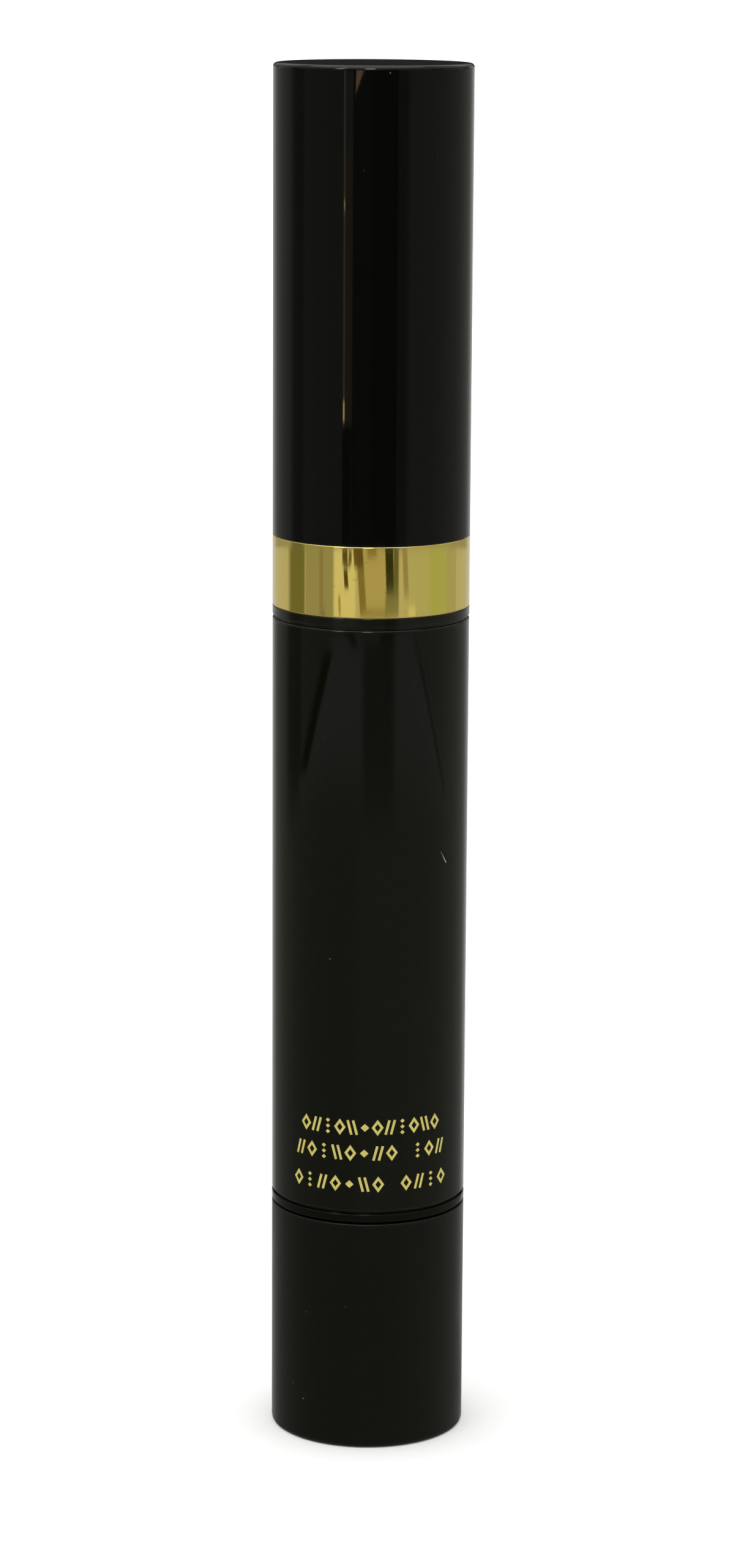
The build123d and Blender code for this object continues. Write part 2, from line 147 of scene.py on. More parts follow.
def new_material(name):
    """A material with its graph, its object-space point and its surface shader."""
    material = bpy.data.materials.new(name)
    material.use_nodes = True
    graph = Graph(material.node_tree)
    shader = graph.add("ShaderNodeBsdfPrincipled")
    output = graph.add("ShaderNodeOutputMaterial")
    graph.put(output.inputs["Surface"], shader.outputs["BSDF"])
    point = graph.add("ShaderNodeTexCoord").outputs["Object"]
    return material, graph, shader, point


# ---------------------------------------------------------------- materials

def scratch(g, point, turn, height, length, lean):
    """A short nick that widens downward, at a bearing and a height on the pen's side."""
    wide, narrow, fade, solid = 0.075 * MM, 0.015 * MM, 0.1 * MM, 0.4
    x, y, z = g.parts(point)
    bearing = g.math("ARCTAN2", x, g.product(y, -1.0))
    across = g.product(g.math("SUBTRACT", bearing, math.radians(turn)), RADIUS)
    up = g.math("SUBTRACT", z, height)
    side, rise = math.cos(math.radians(lean)), math.sin(math.radians(lean))
    off = g.math("ADD", g.product(across, side), g.product(up, rise))
    along = g.math("SUBTRACT", g.product(up, side), g.product(across, rise))
    width = g.ramp_between(along, -length / 2, length / 2, wide, narrow)
    from_middle = g.math("DIVIDE", g.math("ABSOLUTE", off), width)
    inside = g.ramp_between(from_middle, solid, 1.0, 1.0, 0.0)
    return g.product(inside, g.band(along, -length / 2, length / 2, fade))


def black_plastic(name, tone, gloss, haze, specular, grain=0.0, rims=(), nick=None):
    """Black moulded plastic.

    tone is its darkest colour, gloss and haze are the roughness where it is clean and where it
    is handled, grain is the depth of the mould texture in metres, rims are heights where
    handling has rubbed the edge, and nick is the bearing, height, length and lean of a scratch.
    """
    material, g, shader, point = new_material(name)
    smudge = g.noise(g.stretched(point, 1, 1, 0.45), 140.0, detail=6.0, roughness=0.62)
    patch = g.ramp_between(smudge, 0.42, 0.72)
    swirl = g.noise(point, 38.0, detail=3.0, distortion=1.2)

    speck = g.add("ShaderNodeTexVoronoi", {"Scale": 900.0, "Randomness": 1.0})
    g.put(speck.inputs["Vector"], point)
    rare = g.noise(point, 300.0, detail=1.0)
    dust = g.product(
        g.ramp_between(speck.outputs["Distance"], 0.04, 0.10, 1.0, 0.0),
        g.ramp_between(rare, 0.69, 0.73),
    )

    # rubbed by hands, only close to a rim and only on the pen's outside
    x, y, height = g.parts(point)
    reach = g.math("SQRT", g.math("ADD", g.product(x, x), g.product(y, y)))
    outside = g.ramp_between(reach, RADIUS - 0.6 * MM, RADIUS - 0.2 * MM)
    rub = g.ramp_between(g.noise(point, 160.0, detail=2.0), 0.3, 0.7, 0.25, 1.0)
    rub = g.product(rub, outside)
    half_width, fade = 0.05 * MM, 0.3 * MM
    worn = 0.0
    for rim in rims:
        near = g.band(height, rim - half_width, rim + half_width, fade)
        worn = g.math("ADD", worn, g.product(near, rub), clamp=True)

    lighter = rgb(*(1.6 * c for c in tone))
    dust_grey, worn_grey = rgb(0.20, 0.19, 0.17), rgb(0.03, 0.03, 0.027)
    cut_grey = rgb(0.36, 0.35, 0.31)
    colour = g.mix(swirl, rgb(*tone), lighter)
    colour = g.mix(g.product(dust, 0.5), colour, dust_grey)
    colour = g.mix(g.product(worn, 0.12), colour, worn_grey)
    if nick:
        colour = g.mix(g.product(scratch(g, point, *nick), 0.7), colour, cut_grey)
    g.put(shader.inputs["Base Color"], colour)

    rough = g.ramp_between(patch, 0.0, 1.0, gloss, haze)
    rough = g.total(rough, g.product(worn, 0.05), g.product(dust, 0.3))
    g.put(shader.inputs["Roughness"], rough)
    shader.inputs["Specular IOR Level"].default_value = specular

    waviness = g.noise(g.stretched(point, 1, 1, 0.3), 60.0, detail=2.0)
    normal = g.bump(waviness, 8 * MICRON)
    if grain:
        texture = g.noise(point, 5200.0, detail=2.0, roughness=0.6)
        normal = g.bump(texture, grain, normal=normal)
    g.put(shader.inputs["Normal"], normal)
    return material


def gold_material():
    """Polished pale gold plating with a few dull spots and hairlines too fine to blur it."""
    material, g, shader, point = new_material("polished_gold")
    cloud = g.noise(g.stretched(point, 1, 1, 0.6), 210.0, detail=4.0)
    sparkle = g.noise(point, 2600.0, detail=3.0, roughness=0.7)
    colour = g.mix(cloud, rgb(0.83, 0.655, 0.175), rgb(0.89, 0.71, 0.215))
    pit = g.ramp_between(sparkle, 0.60, 0.74)
    colour = g.mix(g.product(pit, 0.25), colour, rgb(0.62, 0.44, 0.10))
    g.put(shader.inputs["Base Color"], colour)
    shader.inputs["Metallic"].default_value = 1.0
    rough = g.ramp_between(cloud, 0.3, 0.75, 0.012, 0.03)
    g.put(shader.inputs["Roughness"], g.total(rough, g.product(pit, 0.05)))
    ripple = g.bump(g.noise(g.stretched(point, 1, 1, 0.35), 330.0, detail=1.0), 0.8 * MICRON)
    g.put(shader.inputs["Normal"], g.bump(sparkle, 0.1 * MICRON, normal=ripple))
    return material


def foil_material():
    """Hot-stamped gold foil: bright yellow, a little broken at this scale."""
    material, g, shader, point = new_material("stamped_gold_foil")
    flake = g.noise(point, 2600.0, detail=3.0)
    g.put(shader.inputs["Base Color"], g.mix(flake, rgb(0.66, 0.56, 0.12), rgb(0.92, 0.82, 0.28)))
    shader.inputs["Metallic"].default_value = 0.55
    g.put(shader.inputs["Roughness"], g.ramp_between(flake, 0.3, 0.7, 0.32, 0.5))
    g.put(shader.inputs["Normal"], g.bump(flake, 4 * MICRON))
    return material


def pale_plastic(name, low, high, rough):
    """Natural moulded plastic or rubber with a cloudy tone and fine flow marks."""
    material, g, shader, point = new_material(name)
    cloud = g.noise(point, 300.0, detail=4.0)
    flow = g.noise(g.stretched(point, 1, 1, 0.15), 1200.0, detail=2.0)
    g.put(shader.inputs["Base Color"], g.mix(cloud, low, high))
    g.put(shader.inputs["Roughness"], g.ramp_between(flow, 0.3, 0.7, rough, rough + 0.12))
    g.put(shader.inputs["Normal"], g.bump(flow, 6 * MICRON))
    return material


def bristle_material():
    """Fine tapered synthetic hair: brown at the root and paler at the tip."""
    material, g, shader, point = new_material("synthetic_bristle")
    height = g.parts(point)[2]
    low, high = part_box("brush_tuft")
    in_ferrule = 5 * MM
    along = g.ramp_between(height, low.z + in_ferrule, high.z)
    strand = g.noise(g.stretched(point, 1, 1, 0.02), 4200.0, detail=2.0)
    root = g.mix(strand, rgb(0.045, 0.022, 0.012), rgb(0.13, 0.07, 0.035))
    tip = g.mix(strand, rgb(0.30, 0.19, 0.11), rgb(0.52, 0.37, 0.24))
    g.put(shader.inputs["Base Color"], g.mix(along, root, tip))
    g.put(shader.inputs["Roughness"], g.ramp_between(strand, 0.2, 0.8, 0.35, 0.5))
    return material


# ---------------------------------------------------------------- build

def cover(name, material):
    """Gives a CAD node its finish."""
    slots = NODES[name].data.materials
    slots.clear()
    slots.append(material)
    NODES[name].data.polygons.foreach_set("material_index", [0] * len(NODES[name].data.polygons))


def finish_nodes():
    """Gives each CAD node but the brush tuft its finish, which its skin or sleeve takes over."""
    base_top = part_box("base_shell")[1].z
    barrel_low, barrel_high = (corner.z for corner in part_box("barrel_shell"))
    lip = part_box("cap_liner")[0].z
    foot = 0.2 * MM
    nick = (48.5, barrel_low + 31.05 * MM, 1.2 * MM, 33.0)  # bearing, height, length, lean
    neutral = (0.0006, 0.0007, 0.0004)
    olive = (0.0013, 0.0017, 0.0003)
    grey = (0.008, 0.008, 0.008)

    cap = black_plastic(
        "cap_mirror_black", neutral, gloss=0.012, haze=0.035, specular=0.22, rims=(PEN_TOP,),
    )
    lip_black = black_plastic(
        "lip_gloss_black", olive, gloss=0.08, haze=0.14, specular=0.26, rims=(lip,),
    )
    barrel = black_plastic(
        "barrel_gloss_black", olive, gloss=0.022, haze=0.045, specular=0.22,
        rims=(barrel_low, barrel_high), nick=nick,
    )
    ring = black_plastic("ring_black", olive, gloss=0.12, haze=0.20, specular=0.12)
    base = black_plastic(
        "base_satin_black", olive, gloss=0.29, haze=0.38, specular=0.20, grain=3 * MICRON,
        rims=(foot, base_top),
    )
    neck = black_plastic("neck_gloss_black", neutral, gloss=0.06, haze=0.12, specular=0.30)
    inner = black_plastic(
        "inner_moulded_black", grey, gloss=0.45, haze=0.6, specular=0.35, grain=4 * MICRON,
    )
    natural = pale_plastic("natural_acetal", rgb(0.62, 0.60, 0.54), rgb(0.74, 0.72, 0.66), 0.38)
    clear = pale_plastic("clouded_polypropylene", rgb(0.55, 0.58, 0.58), rgb(0.7, 0.73, 0.72), 0.25)
    rubber = pale_plastic("grey_silicone", rgb(0.20, 0.20, 0.205), rgb(0.27, 0.27, 0.275), 0.5)

    finishes = {
        "cap_shell": cap, "gold_band": gold_material(), "cap_liner": lip_black,
        "cap_seal": rubber,
        "barrel_shell": barrel, "reservoir": clear, "neck_gasket": rubber, "neck_collar": neck,
        "collar_o_ring": rubber, "brush_ferrule": neck, "feed_tube": natural,
        "mechanism_housing": ring, "journal_o_ring": rubber, "ratchet_ring": natural,
        "thread_nut": natural,
        "base_shell": base, "base_core": inner, "drive_sleeve": inner, "pawl_ring": natural,
        "drive_spindle": natural,
        "lead_screw": natural, "piston": natural, "piston_seals": rubber,
    }
    for name, material in finishes.items():
        cover(name, material)


def circle(radius, height, count):
    """Points evenly spaced round the Z axis."""
    turns = [2 * math.pi * i / count for i in range(count)]
    return [(radius * math.cos(turn), radius * math.sin(turn), height) for turn in turns]


def mesh_object(name, verts, faces, material, body, smooth=True):
    """A piece with its points in millimetres, riding on a body."""
    mesh = bpy.data.meshes.new(name)
    mesh.from_pydata([Vector(v) * MM for v in verts], [], faces)
    mesh.update()
    mesh.polygons.foreach_set("use_smooth", [smooth] * len(faces))
    mesh.materials.append(material)
    obj = bpy.data.objects.new(name, mesh)
    bpy.context.scene.collection.objects.link(obj)
    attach(obj, body)
    return obj


def rounded_outline(corners):
    """The points of a closed half section.

    A corner is (radius, height) or (radius, height, round). A rounded corner is a right angle,
    and a point just before and after its round keeps the shading of the flats beside it even.
    """
    arc_steps, hold = 8, 0.03
    points = []
    for i, corner in enumerate(corners):
        here = Vector(corner[:2])
        if len(corner) == 2:
            points.append(here)
            continue
        fillet = corner[2]
        back = (Vector(corners[i - 1][:2]) - here).normalized()
        ahead = (Vector(corners[(i + 1) % len(corners)][:2]) - here).normalized()
        centre = here + (back + ahead) * fillet
        points.append(here + back * (fillet + hold))
        for k in range(arc_steps + 1):
            turn = math.pi / 2 * k / arc_steps
            points.append(centre - (ahead * math.cos(turn) + back * math.sin(turn)) * fillet)
        points.append(here + ahead * (fillet + hold))
    return points


def turned(name, corners, node, body, keys=0):
    """A solid of revolution about Z with fine, evenly shaded rounds, finished like a node."""
    around, crease = 256, math.radians(35)
    verts, faces, rings = [], [], []
    for point in rounded_outline(corners):
        first = len(verts)
        if point.x < 1e-6:
            verts.append((0.0, 0.0, point.y))
            rings.append([first] * around)
        else:
            verts.extend(circle(point.x, point.y, around))
            rings.append(range(first, first + around))
    for ring, after in zip(rings, rings[1:] + rings[:1]):
        for i in range(around):
            j = (i + 1) % around
            face = tuple(dict.fromkeys((ring[i], ring[j], after[j], after[i])))
            if len(face) > 2:
                faces.append(face)
    for i in range(keys):
        add_key(verts, faces, 2 * math.pi * i / keys)
    piece = mesh_object(name, verts, faces, NODES[node].data.materials[0], body)
    piece.data.set_sharp_from_angle(angle=crease)
    return piece


def add_key(verts, faces, turn):
    """One of the upright keys inside the base, which drive its core."""
    near, far, half_wide, low, high = OUTER - 1.6, OUTER - 0.9, 0.6, BASE_FLOOR, 9.0
    outline = ((near, -half_wide), (far, -half_wide), (far, half_wide), (near, half_wide))
    cos, sin = math.cos(turn), math.sin(turn)
    first = len(verts)
    for z in (low, high):
        for x, y in outline:
            verts.append((x * cos - y * sin, x * sin + y * cos, z))
    a, b, c, d, e, f, g, h = range(first, first + 8)
    faces.extend([(a, d, c, b), (e, f, g, h)])
    faces.extend([(a, b, f, e), (b, c, g, f), (c, d, h, g), (d, a, e, h)])


def skins():
    """The outside of the pen, with finer rounds than the CAD mesh has."""
    wall, base_wall, cap_ceiling = 1.05, 1.2, 1.6
    hair, small, cap_edge, cap_inside, foot_edge = 0.08, 0.18, 0.35, 0.7, 0.4
    inner = OUTER - wall
    low, high = {}, {}
    for node in ("cap_shell", "gold_band", "cap_liner", "barrel_shell", "base_shell"):
        low[node], high[node] = (corner.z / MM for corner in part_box(node))

    foot, top = low["cap_shell"], high["cap_shell"]
    ceiling = top - cap_ceiling
    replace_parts(turned("cap_shell_skin", [
        (inner, foot), (OUTER, foot, hair), (OUTER, top, cap_edge), (0.0, top),
        (0.0, ceiling), (inner, ceiling, cap_inside),
    ], "cap_shell", "cap"), "cap_shell")

    # the gold band has a groove inside, for the liner's snap bead
    foot, top = low["gold_band"], high["gold_band"]
    middle, groove = (foot + top) / 2, inner + 0.25
    mouth, bed = 0.6, 0.4
    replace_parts(turned("gold_band_skin", [
        (inner, foot), (OUTER, foot, hair), (OUTER, top, hair), (inner, top),
        (inner, middle + mouth), (groove, middle + bed),
        (groove, middle - bed), (inner, middle - mouth),
    ], "gold_band", "cap"), "gold_band")

    foot, top = low["barrel_shell"], high["barrel_shell"]
    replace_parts(turned("barrel_shell_skin", [
        (inner, foot), (OUTER, foot, small), (OUTER, top, small), (inner, top),
    ], "barrel_shell", "barrel"), "barrel_shell")

    foot, top = low["base_shell"], high["base_shell"]
    inside = OUTER - base_wall
    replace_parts(turned("base_shell_skin", [
        (0.0, foot), (OUTER, foot, foot_edge), (OUTER, top, hair), (inside, top),
        (inside, foot + BASE_FLOOR), (0.0, foot + BASE_FLOOR),
    ], "base_shell", "base", keys=4), "base_shell")

    # thin sleeves over the two narrow rings, which keep their CAD nodes
    proud, buried, lap = 0.004, 0.1, 0.002
    seam = 0.2
    rings = {
        "lip_sleeve": ("cap_liner", "cap", "lip_black", low["cap_liner"], low["gold_band"]),
        "bearing_ring_sleeve": (
            "mechanism_housing", "barrel", "ring_black",
            high["base_shell"] + seam, low["barrel_shell"] - seam,
        ),
    }
    for name, (node, body, slot, foot, top) in rings.items():
        turned(name, [
            (OUTER - buried, foot - lap), (OUTER + proud, foot - lap, hair),
            (OUTER + proud, top + lap, hair), (OUTER - buried, top + lap),
        ], node, body)


class Foil:
    """Flat strokes stamped on the barrel, drawn on its unrolled surface in millimetres."""

    TOP = 0.006  # how far the foil stands proud
    ROOT = -0.03  # how deep its underside is buried
    STROKE = 0.22
    STEP = 0.16  # the longest flat piece of a stroke

    def __init__(self):
        self.verts = []
        self.faces = []

    def wrap(self, across, up, proud):
        radius = OUTER + proud
        turn = across / OUTER
        return (radius * math.sin(turn), -radius * math.cos(turn), up)

    def strip(self, left, right, closed=False):
        """A thin solid between two rails of (across, up) points."""
        count = len(left)
        first = len(self.verts)
        for a, b in zip(left, right):
            for point, proud in ((a, self.TOP), (b, self.TOP), (b, self.ROOT), (a, self.ROOT)):
                self.verts.append(self.wrap(*point, proud))
        for i in range(count if closed else count - 1):
            here, there = first + 4 * i, first + 4 * ((i + 1) % count)
            for side in range(4):
                after = (side + 1) % 4
                self.faces.append((here + side, here + after, there + after, there + side))
        if not closed:
            last = first + 4 * (count - 1)
            self.faces.append((first + 3, first + 2, first + 1, first))
            self.faces.append((last, last + 1, last + 2, last + 3))

    def line(self, start, end, widths=(1.0, 1.0)):
        """A straight stroke whose width runs through the given shares of the usual one."""
        span = Vector(end) - Vector(start)
        side = Vector((-span.y, span.x)).normalized() * self.STROKE / 2
        steps = max(len(widths) - 1, math.ceil(span.length / self.STEP))
        steps += -steps % (len(widths) - 1)
        left, right = [], []
        for i in range(steps + 1):
            place = i / steps * (len(widths) - 1)
            low = min(int(place), len(widths) - 2)
            share = widths[low] + (place - low) * (widths[low + 1] - widths[low])
            middle = Vector(start) + span * (i / steps)
            left.append(tuple(middle + side * share))
            right.append(tuple(middle - side * share))
        self.strip(left, right)

    def lozenge(self, x, y, width, height):
        """An open lozenge with mitred corners."""
        pieces = 5
        slope = math.hypot(width, height) / 2
        grow = self.STROKE / 2 * slope
        half_w, half_h = width / 2, height / 2
        rails = []
        for way in (1, -1):
            w, h = half_w + way * grow / half_h, half_h + way * grow / half_w
            corners = [(x + w, y), (x, y + h), (x - w, y), (x, y - h)]
            rail = []
            for i, corner in enumerate(corners):
                after = corners[(i + 1) % 4]
                for k in range(pieces):
                    share = k / pieces
                    rail.append(tuple(a + (b - a) * share for a, b in zip(corner, after)))
            rails.append(rail)
        self.strip(rails[0], rails[1], closed=True)

    def diamond(self, x, y, half_width, point, belly):
        """A filled diamond: one stroke that swells from a point to a belly and back."""
        self.line((x - half_width, y), (x + half_width, y), (point, belly, point))

    def mark(self, kind, x, y, tall, wide):
        """One ornament of a row, centred on (x, y)."""
        if kind == "lozenge":
            self.lozenge(x, y, width=wide * 0.86, height=tall * 0.84)
        elif kind in ("rising", "falling"):
            lean = 0.17 if kind == "rising" else -0.17
            apart = 0.24
            for offset in (-apart, apart):
                low = (x + offset - lean, y - tall / 2)
                high = (x + offset + lean, y + tall / 2)
                self.line(low, high)
        elif kind == "beads":
            for level in (-0.4, 0.0, 0.4):
                self.diamond(x, y + level * tall, half_width=0.19, point=0.15, belly=1.7)
        elif kind == "gem":
            self.diamond(x, y, half_width=0.36, point=0.1, belly=3.2)


def foil_rows():
    """Three rows of plain ornament near the foot of the barrel, in gold foil."""
    foil = foil_material()
    barrel_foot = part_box("barrel_shell")[0].z / MM
    tall, wide = 1.28, 0.9
    shift = math.radians(2.0) * OUTER
    # each row's height above the barrel's foot, its sweep in degrees, and its marks in order
    rows = {
        "foil_row_upper": (7.65, 88.0, "L R U L F G L R U L F L"),
        "foil_row_middle": (5.35, 96.0, "R L U F L G R L - U L R"),
        "foil_row_lower": (2.55, 99.5, "L U R L G F L - L R U L"),
    }
    kinds = {"L": "lozenge", "R": "rising", "F": "falling", "U": "beads", "G": "gem"}
    for name, (above, sweep, code) in rows.items():
        marks = code.split()
        length = math.radians(sweep) * OUTER - wide
        row = Foil()
        for i, mark in enumerate(marks):
            if mark in kinds:
                across = shift + length * (i / (len(marks) - 1) - 0.5)
                row.mark(kinds[mark], across, barrel_foot + above, tall, wide)
        mesh_object(name, row.verts, row.faces, foil, "barrel", smooth=False)


def tuft_radius(height):
    """The brush's outline over the ferrule's mouth: a round root, a slight belly, a point."""
    outline = [(-4.0, 2.25), (0.0, 2.3), (2.0, 2.62), (4.2, 2.72), (6.5, 2.50),
               (9.6, 1.72), (12.0, 0.86), (13.95, 0.10)]
    for (z0, r0), (z1, r1) in zip(outline, outline[1:]):
        if height <= z1:
            share = (height - z0) / (z1 - z0)
            return r0 + (r1 - r0) * share
    return outline[-1][1]


def bristles():
    """Several hundred tapered hairs around a dense heart, gathered to a point."""
    random.seed(11)
    verts, faces = [], []
    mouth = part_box("brush_ferrule")[1].z / MM
    root, tip = -4.0, 13.9  # heights over the ferrule's mouth, like those below

    def hair(turn, share, top, thick):
        steps, sides, taper = 9, 4, 0.85
        first = len(verts)
        wander = random.uniform(-0.10, 0.10)
        for i in range(steps + 1):
            along = i / steps
            z = root + (top - root) * along
            r = tuft_radius(z) * share - thick * 0.5 * (1 - along)
            angle = turn + wander * along * along
            x, y = r * math.cos(angle), r * math.sin(angle)
            girth = thick / 2 * (1 - taper * along ** 2)
            for k in range(sides):
                spin = 2 * math.pi * k / sides
                verts.append((x + girth * math.cos(spin), y + girth * math.sin(spin), mouth + z))
        for i in range(steps):
            for k in range(sides):
                a, b = first + i * sides + k, first + i * sides + (k + 1) % sides
                faces.append((a, b, b + sides, a + sides))
        faces.append(tuple(first + k for k in reversed(range(sides))))
        faces.append(tuple(first + steps * sides + k for k in range(sides)))

    # each layer's share of the tuft's radius, its hairs, and where its shortest hair ends
    for layer, count, shortest in ((0.985, 190, 5.5), (0.90, 150, 7.5), (0.76, 90, 10.0)):
        for i in range(count):
            turn = 2 * math.pi * (i + random.uniform(-0.3, 0.3)) / count
            top = tip - (tip - shortest) * random.random() ** 1.7
            hair(turn, layer * random.uniform(0.975, 1.0), top, random.uniform(0.10, 0.14))

    # the heart: a closed, slightly lumpy core just under the hairs
    around, rings = 40, 26
    heart_top, heart_share, lumps, lump_depth = tip - 0.6, 0.86, 7, 0.02
    first = len(verts)
    for i in range(rings + 1):
        z = root + (heart_top - root) * i / rings
        r = tuft_radius(z) * heart_share
        for k in range(around):
            turn = 2 * math.pi * k / around
            lump = 1 + lump_depth * math.sin(lumps * turn + i)
            verts.append((r * lump * math.cos(turn), r * lump * math.sin(turn), mouth + z))
    for i in range(rings):
        for k in range(around):
            a, b = first + i * around + k, first + i * around + (k + 1) % around
            faces.append((a, b, b + around, a + around))
    faces.append(tuple(first + k for k in reversed(range(around))))
    faces.append(tuple(first + rings * around + k for k in range(around)))

    tuft = mesh_object("brush_bristles", verts, faces, bristle_material(), "barrel")
    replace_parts(tuft, "brush_tuft")


# ---------------------------------------------------------------- studio

def floor():
    """A pale floor that curves up into a round wall, far outside every camera."""
    flat, curve, wall_top = 1.6, 1.0, 2.6
    steps, around = 10, 96
    profile = [(0.4, 0.0), (flat, 0.0)]
    for i in range(1, steps + 1):
        turn = math.pi / 2 * i / steps
        profile.append((flat + curve * math.sin(turn), curve * (1 - math.cos(turn))))
    profile.append((flat + curve, wall_top))
    verts = [(0.0, 0.0, 0.0)]
    for radius, height in profile:
        verts.extend(circle(radius, height, around))
    faces = [(0, 1 + i, 1 + (i + 1) % around) for i in range(around)]
    for ring in range(len(profile) - 1):
        a, b = 1 + ring * around, 1 + (ring + 1) * around
        for i in range(around):
            j = (i + 1) % around
            faces.append((a + i, b + i, b + j, a + j))
    mesh = bpy.data.meshes.new("studio_floor")
    mesh.from_pydata(verts, [], faces)
    mesh.polygons.foreach_set("use_smooth", [True] * len(faces))
    obj = bpy.data.objects.new("studio_floor", mesh)
    bpy.context.scene.collection.objects.link(obj)
    material, g, shader, point = new_material("studio_paper")
    cloud = g.noise(point, 3.0, detail=2.0)
    g.put(shader.inputs["Base Color"], g.mix(cloud, rgb(0.86, 0.86, 0.86), rgb(0.88, 0.88, 0.88)))
    shader.inputs["Roughness"].default_value = 0.9
    shader.inputs["Specular IOR Level"].default_value = 0.1
    mesh.materials.append(material)
    obj.visible_glossy = False


class Room:
    """The room that the gloss mirrors, painted by direction.

    turn is the bearing in degrees from the viewer's side, positive to the right, and tilt is the
    height above the horizon in degrees. Each patch is a surface in the room.
    """

    def __init__(self, colour):
        world = bpy.data.worlds.new("room")
        world.use_nodes = True
        bpy.context.scene.world = world
        g = self.graph = Graph(world.node_tree)
        x, y, z = g.parts(g.add("ShaderNodeTexCoord").outputs["Generated"])
        to_degrees = 180 / math.pi
        self.turn = g.product(g.math("ARCTAN2", x, g.product(y, -1.0)), to_degrees)
        self.tilt = g.product(g.math("ARCSINE", z), to_degrees)
        self.colour = colour

    def area(self, turns, tilts, soft, soft_tilt, slant=0.0, fan=0.0):
        """How much a direction is in a patch.

        soft is the width of its side edges, one or (left, right), and soft_tilt that of its lower
        and upper edges, one or (low, high). slant is how many degrees of turn it shifts to the
        right for each degree of tilt, and fan is the share by which it widens for each degree
        below its top.
        """
        g = self.graph
        left, right = soft if isinstance(soft, tuple) else (soft, soft)
        turn = self.turn
        if slant:
            rise = g.math("SUBTRACT", self.tilt, (tilts[0] + tilts[1]) / 2)
            turn = g.math("SUBTRACT", turn, g.product(rise, slant))
        if fan:
            middle = (turns[0] + turns[1]) / 2
            drop = g.math("SUBTRACT", tilts[1], self.tilt)
            spread = g.math("MAXIMUM", g.math("ADD", g.product(drop, fan), 1.0), 0.01)
            off = g.math("SUBTRACT", turn, middle)
            turn = g.math("ADD", g.math("DIVIDE", off, spread), middle)
        low, high = soft_tilt if isinstance(soft_tilt, tuple) else (soft_tilt, soft_tilt)
        across = g.band(turn, turns[0], turns[1], left, right)
        return g.product(across, g.band(self.tilt, tilts[0], tilts[1], low, high))

    def patch(self, colour, turns, tilts, soft=2.0, soft_tilt=0.1, **shape):
        """Paints a patch, in a grey or a colour, over what is there."""
        colour = rgb(*colour) if isinstance(colour, tuple) else rgb(colour, colour, colour)
        share = self.area(turns, tilts, soft, soft_tilt, **shape)
        self.colour = self.graph.mix(share, self.colour, colour)

    def finish(self):
        g = self.graph
        background = g.add("ShaderNodeBackground")
        g.put(background.inputs["Color"], self.colour)
        output = g.add("ShaderNodeOutputWorld")
        g.put(output.inputs["Surface"], background.outputs["Background"])


SEAM = 0.02  # how softly one level of the room meets the next, in degrees
ALL_ROUND = (-400.0, 400.0)


